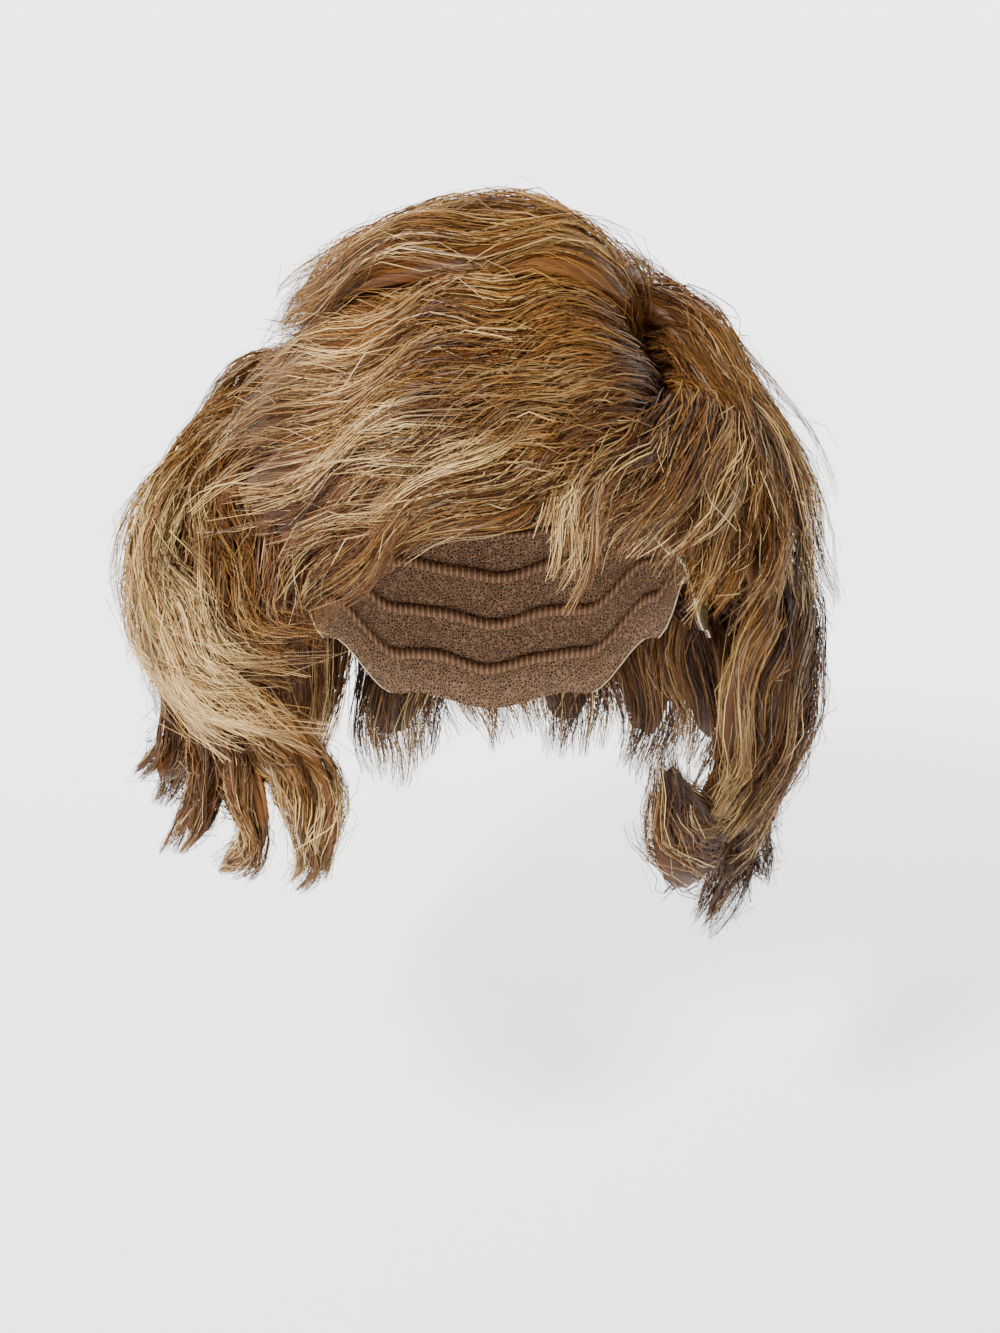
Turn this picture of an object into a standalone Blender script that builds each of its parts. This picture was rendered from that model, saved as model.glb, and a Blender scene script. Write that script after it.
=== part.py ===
"""A short, layered, wavy wig with a side parting: a net cap, the tape round its rim, and nine pieces of hair.

Metres, +Z up. The face looks along -Y and +X is the wearer's left. The origin is the inside of the cap at
the crown. A place on the wig is a longitude (degrees round the head from the face, + towards the wearer's
left), a latitude (degrees above or below the widest ring of the head) and a height over the head.
"""

from collections import namedtuple
from math import atan2, asin, cos, degrees, pi, radians, sin

import bmesh
import bpy
from mathutils import Vector

# Driving sizes, in metres
HEAD_WIDTH = 0.150
HEAD_LENGTH = 0.190
CROWN_RISE = 0.105
LOWER_DROP = 0.200
CAP_WALL = 0.0020
TAPE_WALL = 0.0008
TAPE_WIDTH = 0.0100
GAP = 0.0003
BACKING_WALL = 0.0050
HAIR_DEPTH = 0.0350
LOCK_WIDTH = 0.0300
LOCK_DEPTH = 0.0140

# How finely the round forms are divided. The stations of a lock crowd towards its root, where it bends most.
STEP = 12
CAP_RINGS = 6
CROWN_RINGS = 3
LOCK_STATIONS = 6
LOCK_SIDES = 5
STATION_CROWDING = 1.25

# After a cut or a joint, corners this near are one corner, and faces this near to flat are one face
MERGE = 0.00001
FLAT = radians(1)
# Edges sharper than this show as creases
CREASE = radians(50)
# A lock that points more steeply away from the head than this keeps the roll it had before
LEAST_ACROSS = 0.35

# The section of a lock along its length, as shares of its full width and depth
ROOT_SHARE = 0.34
FULL_AT = 0.45
TIP_SHARE = 0.14
TIP_SHARPNESS = 3

# The facets of a round form lie this much inside it, once along and once across
FACET_SAG = 2 * HEAD_LENGTH / 2 * (1 - cos(radians(STEP / 2)))
BACKING_LIFT = CAP_WALL + GAP + FACET_SAG
ROOT_LIFT = BACKING_LIFT + BACKING_WALL + GAP
LOCK_FLOOR = BACKING_LIFT + BACKING_WALL / 2

# The rim of the cap from the middle of the forehead round the ear to the middle of the nape
RimPoint = namedtuple("RimPoint", "longitude latitude")
RIM = (
    RimPoint(0, 34),
    RimPoint(35, 31),
    RimPoint(54, 18),
    RimPoint(66, 2),
    RimPoint(76, -1),
    RimPoint(88, 6),
    RimPoint(104, 5),
    RimPoint(125, -8),
    RimPoint(150, -17),
    RimPoint(180, -20),
)

# The sector of the cap that each backing covers. A low of None stops at the rim.
Sector = namedtuple("Sector", "start end low high")

# One lock in each row: its width as a share of LOCK_WIDTH, its root (longitude, latitude), then four places
# on its outer face (longitude, latitude, height as a share of HAIR_DEPTH). "between" is how many more locks
# stand between this row's and the next row's, each a blend of the two.
Lock = namedtuple("Lock", "between width root rise crest fall tip")

CROWN = (
    Lock(1, 1.7, (110, 69), (121, 62, 0.85), (127, 51, 1.04), (124, 39, 1.14), (116, 27, 1.10)),
    Lock(1, 1.7, (135, 75), (160, 67, 0.88), (170, 55, 1.08), (176, 41, 1.18), (172, 27, 1.10)),
    Lock(0, 1.7, (165, 77), (-170, 71, 0.88), (-152, 60, 1.06), (-148, 45, 1.16), (-152, 31, 1.08)),
    Lock(0, 1.6, (150, 79), (-178, 79, 0.88), (-126, 67, 0.96), (-120, 52, 0.98), (-122, 38, 0.94)),
    Lock(0, 1.5, (118, 77), (150, 86, 0.90), (-102, 75, 0.90), (-104, 58, 0.84), (-108, 43, 0.82)),
    Lock(1, 1.5, (97, 70), (76, 80, 0.96), (-86, 86, 0.90), (-94, 66, 0.76), (-98, 48, 0.72)),
    Lock(0, 1.4, (82, 59), (56, 69, 0.88), (-16, 74, 0.86), (-66, 60, 0.78), (-82, 45, 0.80)),
)
SWEEP = (
    Lock(0, 1.5, (76, 53), (36, 60, 0.78), (-14, 61, 0.82), (-54, 48, 0.84), (-86, 31, 0.98)),
    Lock(1, 1.4, (74, 50), (28, 53, 0.70), (-20, 51, 0.80), (-52, 39, 0.90), (-76, 20, 1.22)),
    Lock(0, 1.3, (72, 47), (24, 46, 0.62), (-18, 42, 0.72), (-44, 33, 0.84), (-60, 16, 1.16)),
)
FRINGE = (
    Lock(0, 1.1, (70, 44), (16, 42, 0.58), (-20, 35, 0.68), (-46, 24, 0.72), (-37, 9, 0.50)),
    Lock(0, 1.2, (68, 42), (14, 38, 0.56), (-16, 31, 0.62), (-36, 24, 0.58), (-46, 18, 0.50)),
    Lock(0, 1.2, (66, 41), (20, 36, 0.54), (-4, 30, 0.56), (-18, 26, 0.50), (-30, 22, 0.42)),
    Lock(0, 1.1, (66, 39), (32, 36, 0.54), (10, 31, 0.56), (-2, 27, 0.48), (-11, 24, 0.38)),
    Lock(0, 1.1, (67, 38), (40, 36, 0.60), (24, 31, 0.60), (15, 25, 0.50), (12, 19, 0.38)),
    Lock(0, 1.2, (69, 38), (53, 34, 0.68), (40, 28, 0.66), (30, 22, 0.54), (22, 18, 0.40)),
    Lock(0, 1.2, (74, 39), (66, 34, 0.82), (57, 25, 0.80), (47, 18, 0.68), (36, 15, 0.50)),
)
LEFT_SIDE = (
    Lock(0, 1.7, (122, 55), (114, 50, 0.90), (107, 37, 1.02), (99, 21, 1.12), (90, 5, 1.14)),
    Lock(1, 1.5, (102, 57), (93, 54, 0.84), (88, 41, 0.98), (80, 22, 1.10), (68, 3, 1.28)),
    Lock(1, 1.3, (88, 51), (80, 46, 0.80), (73, 33, 0.92), (65, 17, 1.06), (54, 3, 1.06)),
    Lock(0, 1.1, (83, 45), (72, 39, 0.80), (62, 26, 0.88), (54, 14, 0.90), (43, 7, 0.76)),
)
LEFT_LOWER = (
    Lock(1, 1.2, (106, 15), (92, 3, 1.00), (78, -5, 1.12), (66, -11, 1.00), (52, -15, 0.80)),
    Lock(0, 1.0, (88, 16), (62, 5, 0.86), (54, -3, 0.82), (54, -11, 0.76), (39, -18, 0.56)),
    Lock(0, 0.8, (74, 4), (66, -12, 0.62), (51, -16, 0.60), (37, -13, 0.52), (32, -6, 0.38)),
    Lock(0, 1.3, (113, 12), (98, -2, 0.96), (83, -11, 0.98), (68, -17, 0.86), (53, -20, 0.64)),
    Lock(0, 1.2, (118, 8), (104, -6, 0.94), (88, -15, 0.90), (72, -20, 0.76), (56, -23, 0.56)),
    Lock(0, 1.2, (126, 2), (110, -12, 0.86), (92, -21, 0.78), (73, -26, 0.66), (52, -28, 0.48)),
    Lock(0, 0.9, (124, 6), (108, -10, 0.92), (90, -19, 0.88), (74, -23, 0.82), (61, -22, 0.94)),
)
RIGHT_SIDE = (
    Lock(1, 1.4, (-116, 45), (-110, 37, 0.95), (-104, 24, 1.14), (-98, 8, 1.24), (-88, -5, 1.12)),
    Lock(1, 1.4, (-94, 40), (-92, 27, 0.98), (-80, 12, 1.32), (-60, 2, 1.38), (-38, -3, 1.14)),
    Lock(1, 1.3, (-82, 37), (-76, 25, 1.02), (-58, 13, 1.36), (-44, 4, 1.38), (-22, 2, 1.05)),
    Lock(0, 1.1, (-68, 33), (-58, 24, 0.98), (-46, 15, 1.16), (-38, 8, 1.12), (-24, 6, 0.90)),
)
RIGHT_LOWER = (
    Lock(0, 1.3, (-114, 12), (-100, 0, 0.98), (-86, -7, 1.05), (-75, -12, 1.15), (-78, -17, 1.40)),
    Lock(0, 1.1, (-108, 12), (-92, 1, 1.00), (-76, -6, 1.08), (-65, -9, 1.22), (-68, -12, 1.62)),
    Lock(0, 1.0, (-100, 12), (-79, -3, 0.98), (-60, -8, 1.04), (-53, -12, 1.20), (-57, -16, 1.48)),
    Lock(0, 1.0, (-88, 11), (-62, -4, 0.92), (-47, -9, 0.98), (-42, -13, 1.08), (-45, -17, 1.26)),
    Lock(0, 0.9, (-74, 7), (-44, -3, 0.82), (-34, -7, 0.82), (-32, -13, 0.78), (-37, -19, 0.70)),
)
BACK = (
    Lock(1, 2.2, (126, 42), (121, 31, 1.00), (122, 18, 1.10), (116, 6, 1.14), (121, -6, 1.02)),
    Lock(1, 2.2, (180, 46), (183, 34, 1.02), (177, 20, 1.16), (184, 8, 1.16), (178, -5, 1.02)),
    Lock(0, 2.0, (-126, 42), (-120, 32, 1.00), (-124, 18, 1.14), (-117, 6, 1.18), (-121, -6, 1.05)),
)
NAPE = (
    Lock(2, 1.7, (128, 14), (124, 2, 0.92), (126, -8, 0.96), (121, -16, 0.88), (126, -25, 0.96)),
    Lock(2, 1.7, (178, 16), (182, 2, 0.92), (176, -8, 0.96), (181, -17, 0.82), (178, -27, 0.92)),
    Lock(0, 1.7, (-124, 14), (-119, 2, 0.96), (-112, -8, 1.04), (-106, -16, 1.00), (-100, -22, 1.10)),
)

# The pieces of hair, from the one that lies on top of the others to the one that lies under them
HairPiece = namedtuple("HairPiece", "name sectors locks colour")
HAIR = (
    HairPiece("left_side_hair", (Sector(80, 126, 26, 60),), LEFT_SIDE, (0.42, 0.19, 0.07)),
    HairPiece("crown_hair", (Sector(0, 360, 52, 90),), CROWN, (0.50, 0.24, 0.09)),
    HairPiece("sweep_hair", (Sector(-60, 79, 44, 55),), SWEEP, (0.56, 0.29, 0.12)),
    HairPiece("right_side_hair", (Sector(-126, -60, 24, 53),), RIGHT_SIDE, (0.60, 0.36, 0.18)),
    HairPiece("fringe_hair", (Sector(-60, 80, None, 45),), FRINGE, (0.62, 0.36, 0.16)),
    HairPiece("back_hair", (Sector(124, 236, 22, 53),), BACK, (0.44, 0.20, 0.08)),
    HairPiece("left_lower_hair", (Sector(70, 132, None, 26),), LEFT_LOWER, (0.40, 0.18, 0.06)),
    HairPiece("right_lower_hair", (Sector(-120, -60, None, 24),), RIGHT_LOWER, (0.58, 0.33, 0.17)),
    HairPiece("nape_hair", (Sector(124, 244, None, 22),), NAPE, (0.34, 0.15, 0.05)),
)


def direction(longitude, latitude):
    """The unit vector that names a place on the head."""
    around, up = radians(longitude), radians(latitude)
    return Vector((cos(up) * sin(around), -cos(up) * cos(around), sin(up)))


def place(way, lift):
    """(point, outward normal) at this height over the head form, which is longer below its widest ring."""
    way = way.normalized()
    half = (HEAD_WIDTH / 2, HEAD_LENGTH / 2, CROWN_RISE if way.z >= 0 else LOWER_DROP)
    on_head = Vector(way[axis] * half[axis] for axis in range(3))
    normal = Vector(on_head[axis] / half[axis] ** 2 for axis in range(3)).normalized()
    return on_head - Vector((0, 0, CROWN_RISE)) + lift * normal, normal


def rim_latitude(longitude):
    """The latitude of the cap's rim, the same on both sides of the head."""
    around = abs((longitude + 180) % 360 - 180)
    for near, far in zip(RIM, RIM[1:]):
        if around <= far.longitude:
            share = (around - near.longitude) / (far.longitude - near.longitude)
            eased = (1 - cos(pi * share)) / 2
            return near.latitude + (far.latitude - near.latitude) * eased
    return RIM[-1].latitude


def arc_degrees(length):
    """How many degrees of latitude a length over the head takes."""
    return degrees(length / CROWN_RISE)


def finish(obj, collection, colour, roughness):
    """Puts the object in its collection with a plain material of its own, shaded smooth."""
    surface = bpy.data.materials.new(obj.name)
    surface.use_nodes = True
    shader = surface.node_tree.nodes["Principled BSDF"]
    shader.inputs["Base Color"].default_value = (*colour, 1)
    shader.inputs["Roughness"].default_value = roughness
    obj.data.materials.clear()
    obj.data.materials.append(surface)
    obj.data.shade_smooth()
    obj.data.set_sharp_from_angle(angle=CREASE)
    for holder in obj.users_collection:
        holder.objects.unlink(obj)
    collection.objects.link(obj)


def object_from(form, name, collection):
    """An object that holds the bmesh, its faces split the same way at every size."""
    bmesh.ops.triangulate(form, faces=form.faces, quad_method="FIXED")
    mesh = bpy.data.meshes.new(name)
    form.to_mesh(mesh)
    form.free()
    obj = bpy.data.objects.new(name, mesh)
    collection.objects.link(obj)
    return obj


def thicken(obj, wall):
    """A wall built outwards from an open surface."""
    skin = obj.modifiers.new("wall", "SOLIDIFY")
    skin.thickness = wall
    skin.offset = 1
    skin.use_even_offset = True


def dome(name, rings, lowest, lift, wall, collection):
    """The upper half of a sphere laid over the head, its equator on the lowest latitude at each longitude."""
    form = bmesh.new()
    bmesh.ops.create_uvsphere(form, u_segments=360 // STEP, v_segments=2 * rings, radius=1)
    below = [vertex for vertex in form.verts if vertex.co.z < -1e-6]
    bmesh.ops.delete(form, geom=below, context="VERTS")
    for vertex in form.verts:
        longitude = degrees(atan2(vertex.co.x, -vertex.co.y))
        share = degrees(asin(min(vertex.co.z, 1))) / 90
        low = lowest(longitude)
        vertex.co = place(direction(longitude, low + (90 - low) * share), lift)[0]
    obj = object_from(form, name, collection)
    thicken(obj, wall)
    return obj


def patch(name, sector, margin, lift, wall, collection):
    """A rectangle of longitude and latitude, wider all round by a margin in degrees, laid over the head."""
    form = bmesh.new()
    columns = round((sector.end - sector.start) / STEP)
    rows = round((sector.high - (sector.low or 0)) / STEP) + 1
    bmesh.ops.create_grid(form, x_segments=columns, y_segments=rows, size=0.5)
    for vertex in form.verts:
        longitude = sector.start - margin + (sector.end - sector.start + 2 * margin) * (vertex.co.x + 0.5)
        low = (rim_latitude(longitude) if sector.low is None else sector.low) - margin
        latitude = low + (sector.high + margin - low) * (vertex.co.y + 0.5)
        vertex.co = place(direction(longitude, latitude), lift)[0]
    obj = object_from(form, name, collection)
    thicken(obj, wall)
    return obj


def backing(name, sector, grown, collection):
    """The dense rows of hair over one sector of the cap, made larger all round by grown."""
    margin = 2 * degrees(grown / (HEAD_WIDTH / 2))
    lift = BACKING_LIFT - grown
    wall = BACKING_WALL + 2 * grown
    if sector.end - sector.start == 360:
        return dome(name, CROWN_RINGS, lambda longitude: sector.low - margin, lift, wall, collection)
    return patch(name, sector, margin, lift, wall, collection)


def knots(lock):
    """The five places of a lock, each as a direction with its height as a fourth number."""
    root = (*lock.root, ROOT_LIFT / HAIR_DEPTH)
    places = (root, lock.rise, lock.crest, lock.fall, lock.tip)
    return [Vector((*direction(longitude, latitude), height)) for longitude, latitude, height in places]


def all_locks(table):
    """(width share, knots) of each lock of a table, with the blends between its rows."""
    found = []
    for row, lock in enumerate(table):
        found.append((lock.width, knots(lock)))
        for extra in range(lock.between):
            share = (extra + 1) / (lock.between + 1)
            after = table[row + 1]
            blend = [near.lerp(far, share) for near, far in zip(knots(lock), knots(after))]
            found.append((lock.width + (after.width - lock.width) * share, blend))
    return found


def along(places, share):
    """The Catmull-Rom curve through the knots, at a share of its length."""
    spans = len(places) - 1
    span = min(int(share * spans), spans - 1)
    rest = share * spans - span
    near, far = places[span], places[span + 1]
    before = places[span - 1] if span else 2 * near - far
    after = places[span + 2] if span + 2 <= spans else 2 * far - near
    bend = 2 * before - 5 * near + 4 * far - after
    twist = 3 * near - before - 3 * far + after
    return 0.5 * (2 * near + (far - before) * rest + bend * rest**2 + twist * rest**3)


def swelling(share):
    """How much of its full width and depth a lock has at a share of its length."""
    opening = ROOT_SHARE + (1 - ROOT_SHARE) * sin(pi / 2 * min(share / FULL_AT, 1))
    return opening * (1 - (1 - TIP_SHARE) * share**TIP_SHARPNESS)


def lock_sections(width_share, places, grown):
    """The rings of points round a lock, laid flat to the head and thinned to stay out of the backing."""
    stations = []
    for station in range(LOCK_STATIONS):
        share = (station / (LOCK_STATIONS - 1)) ** STATION_CROWDING
        spot = along(places, share)
        swell = width_share * swelling(share)
        outer = spot.w * HAIR_DEPTH
        depth = min(LOCK_DEPTH * swell, outer - LOCK_FLOOR)
        centre, normal = place(spot.xyz, outer - depth / 2)
        stations.append((centre, normal, LOCK_WIDTH * swell / 2 + grown, depth / 2 + grown))
    rings = []
    side = None
    for station, (centre, normal, half_width, half_depth) in enumerate(stations):
        before = stations[max(station - 1, 0)][0]
        after = stations[min(station + 1, len(stations) - 1)][0]
        forward = (after - before).normalized()
        across = forward.cross(normal)
        if side is None or across.length > LEAST_ACROSS:
            side = across.normalized()
        side = (side - side.dot(forward) * forward).normalized()
        out = side.cross(forward)
        reach = {0: -grown, len(stations) - 1: grown}.get(station, 0)
        middle = centre + reach * forward
        ring = []
        for corner in range(LOCK_SIDES):
            turn = pi / 2 + 2 * pi * corner / LOCK_SIDES
            ring.append(middle + half_width * cos(turn) * side + half_depth * sin(turn) * out)
        rings.append(ring)
    return rings


def lock_solid(name, width_share, places, grown, collection):
    """A lock lofted through its sections, with flat ends."""
    form = bmesh.new()
    rings = [[form.verts.new(point) for point in ring] for ring in lock_sections(width_share, places, grown)]
    for ring, following in zip(rings, rings[1:]):
        for corner in range(LOCK_SIDES):
            beside = (corner + 1) % LOCK_SIDES
            form.faces.new((ring[corner], ring[beside], following[beside], following[corner]))
    form.faces.new(rings[0])
    form.faces.new(rings[-1])
    bmesh.ops.recalc_face_normals(form, faces=form.faces)
    return object_from(form, name, collection)


def bodies_of(form):
    """The connected bodies of a bmesh, as sets of faces."""
    unseen = set(form.faces)
    found = []
    while unseen:
        edge_of_body = [unseen.pop()]
        body = set(edge_of_body)
        while edge_of_body:
            face = edge_of_body.pop()
            for edge in face.edges:
                for beside in edge.link_faces:
                    if beside in unseen:
                        unseen.discard(beside)
                        body.add(beside)
                        edge_of_body.append(beside)
        found.append(body)
    return found


def settle(obj):
    """Turns the object's modifiers into its mesh and drops the tips that a neighbour cut off."""
    graph = bpy.context.evaluated_depsgraph_get()
    mesh = bpy.data.meshes.new_from_object(obj.evaluated_get(graph))
    obj.modifiers.clear()
    form = bmesh.new()
    form.from_mesh(mesh)
    bmesh.ops.remove_doubles(form, verts=form.verts, dist=MERGE)
    bmesh.ops.dissolve_limit(form, angle_limit=FLAT, verts=form.verts, edges=form.edges)
    bmesh.ops.triangulate(form, faces=form.faces)
    bodies = bodies_of(form)
    main = max(bodies, key=lambda body: sum(face.calc_area() for face in body))
    scraps = [face for body in bodies if body is not main for face in body]
    bmesh.ops.delete(form, geom=scraps, context="FACES")
    form.to_mesh(mesh)
    form.free()
    obj.data = mesh
    print(f"{obj.name}: {len(mesh.polygons)} faces, {len(bodies) - 1} scraps dropped")


def cut_or_join(obj, operation, others):
    """A Boolean with every object of a collection."""
    step = obj.modifiers.new(operation.lower(), "BOOLEAN")
    step.operation = operation
    step.operand_type = "COLLECTION"
    step.collection = others
    step.solver = "EXACT"


def helpers(name, parent):
    """A collection for shapes that only join or cut, left out of a render."""
    made = bpy.data.collections.new(name)
    made.hide_render = True
    parent.children.link(made)
    return made


def hair_shapes(piece, grown, collection):
    """Every shape that a piece of hair is fused from, made larger all round by grown."""
    shapes = []
    for number, sector in enumerate(piece.sectors):
        shapes.append(backing(f"{piece.name}_backing_{number}", sector, grown, collection))
    for number, (width_share, places) in enumerate(all_locks(piece.locks)):
        shapes.append(lock_solid(f"{piece.name}_lock_{number}", width_share, places, grown, collection))
    for shape in shapes:
        shape.hide_render = True
        shape.display_type = "WIRE"
    return shapes


def make_cap(wig, cutters):
    """The net cap, a step let into its rim for the tape, and the tape that fills the step."""
    cap = dome("cap", CAP_RINGS, rim_latitude, 0, CAP_WALL, wig)
    tape = rim_band("edge_tape", 0, wig)
    step = helpers("cap_step", cutters)
    rim_band("edge_tape_room", GAP, step)
    cut_or_join(cap, "DIFFERENCE", step)
    settle(cap)
    finish(cap, wig, (0.30, 0.20, 0.12), 0.8)
    finish(tape, wig, (0.80, 0.72, 0.45), 0.7)
    clear(step)


def rim_band(name, grown, collection):
    """The band along the rim of the cap, flush with the outside of the cap, or the room that it needs."""
    form = bmesh.new()
    bmesh.ops.create_cone(form, segments=360 // STEP, radius1=1, radius2=1, depth=2, cap_ends=False)
    for vertex in form.verts:
        longitude = degrees(atan2(vertex.co.x, -vertex.co.y))
        offset = arc_degrees(TAPE_WIDTH + grown) if vertex.co.z > 0 else -arc_degrees(grown)
        way = direction(longitude, rim_latitude(longitude) + offset)
        vertex.co = place(way, CAP_WALL - TAPE_WALL - grown)[0]
    band = object_from(form, name, collection)
    thicken(band, TAPE_WALL + 2 * grown)
    return band


def clear(collection):
    """Removes helper shapes once they have done their work."""
    for obj in list(collection.objects):
        bpy.data.objects.remove(obj)
    bpy.data.collections.remove(collection)


def make_hair(wig, cutters):
    """Each piece of hair, fused from its shapes and cut clear of the cap and of the pieces over it."""
    above = helpers("hair_above", cutters)
    dome("cap_room", CAP_RINGS, rim_latitude, -GAP, CAP_WALL + 2 * GAP, above)
    rim_band("tape_room", GAP, above)
    for piece in HAIR:
        joined = helpers(f"{piece.name}_shapes", cutters)
        hair_shapes(piece, 0, joined)
        form = joined.objects[0]
        joined.objects.unlink(form)
        wig.objects.link(form)
        form.name = piece.name
        form.hide_render = False
        form.display_type = "TEXTURED"
        cut_or_join(form, "UNION", joined)
        cut_or_join(form, "DIFFERENCE", above)
        settle(form)
        finish(form, wig, piece.colour, 0.45)
        clear(joined)
        hair_shapes(piece, GAP, above)
    clear(above)


def main():
    for obj in list(bpy.data.objects):
        bpy.data.objects.remove(obj)
    wig = bpy.data.collections.new("short_wig")
    bpy.context.scene.collection.children.link(wig)
    cutters = helpers("cutters", bpy.context.scene.collection)
    make_cap(wig, cutters)
    make_hair(wig, cutters)


main()
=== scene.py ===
# %% [markdown]
# # A short, layered, wavy wig
# The wig is a net cap with a ribbon round its rim, and thousands of fine fibres sewn to it in rows.
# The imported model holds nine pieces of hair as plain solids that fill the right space.
# Here each of them is replaced by real strands, which follow the same locks. A few locks at the front, the
# tips of the big wave and the hollow inside it are drawn a little nearer to the photograph than the solids.

from collections import namedtuple
import math

import bpy
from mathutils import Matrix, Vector
import numpy as np


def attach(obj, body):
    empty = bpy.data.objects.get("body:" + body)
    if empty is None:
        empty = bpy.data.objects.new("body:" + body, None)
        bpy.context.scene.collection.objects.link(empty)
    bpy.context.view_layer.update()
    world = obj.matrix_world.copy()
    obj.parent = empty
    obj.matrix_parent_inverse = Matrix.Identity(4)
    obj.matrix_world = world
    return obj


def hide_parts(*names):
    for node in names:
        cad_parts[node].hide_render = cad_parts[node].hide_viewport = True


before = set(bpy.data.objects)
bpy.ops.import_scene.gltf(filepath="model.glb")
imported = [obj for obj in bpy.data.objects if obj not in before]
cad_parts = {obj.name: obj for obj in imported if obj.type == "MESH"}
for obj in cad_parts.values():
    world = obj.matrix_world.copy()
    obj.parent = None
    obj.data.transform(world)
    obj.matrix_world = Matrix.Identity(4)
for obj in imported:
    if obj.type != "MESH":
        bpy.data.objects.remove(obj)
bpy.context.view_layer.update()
for leftover in ("Cube", "Light", "Camera"):
    if leftover in bpy.data.objects:
        bpy.data.objects.remove(bpy.data.objects[leftover])
print("nodes:", ", ".join(sorted(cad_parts)))

# %% [markdown]
# ## The head form
# A wig has no straight lines to measure from, so every place on it is named the way a globe is mapped:
# a longitude round the head from the face, a latitude over its widest ring, and a height above the cap.
# One function turns such places into metres. It works on whole arrays, because there are a lot of fibres.

# %% Sizes of the wig, in metres
HEAD_WIDTH = 0.150
HEAD_LENGTH = 0.190
CROWN_RISE = 0.105
LOWER_DROP = 0.200
CAP_TOP = 0.0023
ROOT_LIFT = 0.00864
LOCK_FLOOR = 0.00584
HAIR_DEPTH = 0.035
LOCK_WIDTH = 0.030
LOCK_DEPTH = 0.014
RIM = np.array(
    [(0, 34), (35, 31), (54, 18), (66, 2), (76, -1), (88, 6), (104, 5), (125, -8), (150, -17), (180, -20)],
    float,
)


# %% Places on the head form
def unit(vectors):
    """The same directions with a length of one."""
    return vectors / np.maximum(np.linalg.norm(vectors, axis=-1, keepdims=True), 1e-12)


def toward(longitude, latitude):
    """The direction that names a place on the head."""
    around, up = np.radians(longitude), np.radians(latitude)
    return np.stack([np.cos(up) * np.sin(around), -np.cos(up) * np.cos(around), np.sin(up) + 0 * around], -1)


def over_head(way, lift):
    """(points, outward normals) at a height over the head form."""
    way = unit(way)
    half = np.empty_like(way)
    half[..., 0] = HEAD_WIDTH / 2
    half[..., 1] = HEAD_LENGTH / 2
    half[..., 2] = np.where(way[..., 2] >= 0, CROWN_RISE, LOWER_DROP)
    on_head = way * half
    normal = unit(on_head / half**2)
    return on_head - np.array([0, 0, CROWN_RISE]) + np.asarray(lift)[..., None] * normal, normal


def rim_latitude(longitude):
    """The latitude of the cap's rim, the same on both sides of the head."""
    around = np.abs((np.asarray(longitude, float) + 180) % 360 - 180)
    row = np.clip(np.searchsorted(RIM[:, 0], around, side="right") - 1, 0, len(RIM) - 2)
    share = (around - RIM[row, 0]) / (RIM[row + 1, 0] - RIM[row, 0])
    return RIM[row, 1] + (RIM[row + 1, 1] - RIM[row, 1]) * (1 - np.cos(np.pi * share)) / 2


print("rim at the forehead, the ear and the nape:", rim_latitude([0, 80, 180]).round(1))

# %% [markdown]
# ## The locks
# A stylist sets hair in locks: each one is lifted at its root, waved, and turned in or out at its tip.
# The tables hold one lock in a row: how many in-between locks follow it, its width as a share of the usual
# one, how fair it is from 0 to 1, its root (longitude, latitude), and four places on its outer face with a
# height as a share of the hair's depth. A smooth curve through the five places gives the lock its swing.

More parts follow.
